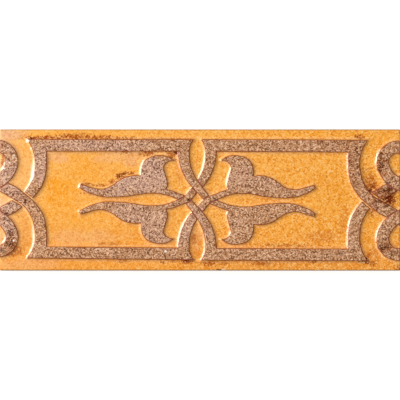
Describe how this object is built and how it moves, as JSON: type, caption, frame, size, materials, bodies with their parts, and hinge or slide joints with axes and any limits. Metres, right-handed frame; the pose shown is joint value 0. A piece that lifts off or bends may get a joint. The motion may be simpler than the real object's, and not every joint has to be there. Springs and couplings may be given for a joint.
{
  "type": "border tile",
  "caption": "Rectangular glazed border tile with raised interlaced bands, half loops at both ends and half-palmette leaves.",
  "frame": {"origin": "middle of the back, on the plane that the tile lies on", "axes": "+X along the border, +Y across it towards the upper long edge, +Z out of the decorated face"},
  "size_m": [0.2, 0.0706, 0.009],
  "materials": {
    "glaze": "gloss orange-yellow glaze with speckled brown raised work"
  },
  "bodies": {
    "root": {"border_tile": "glaze"}
  },
  "joints": []
}
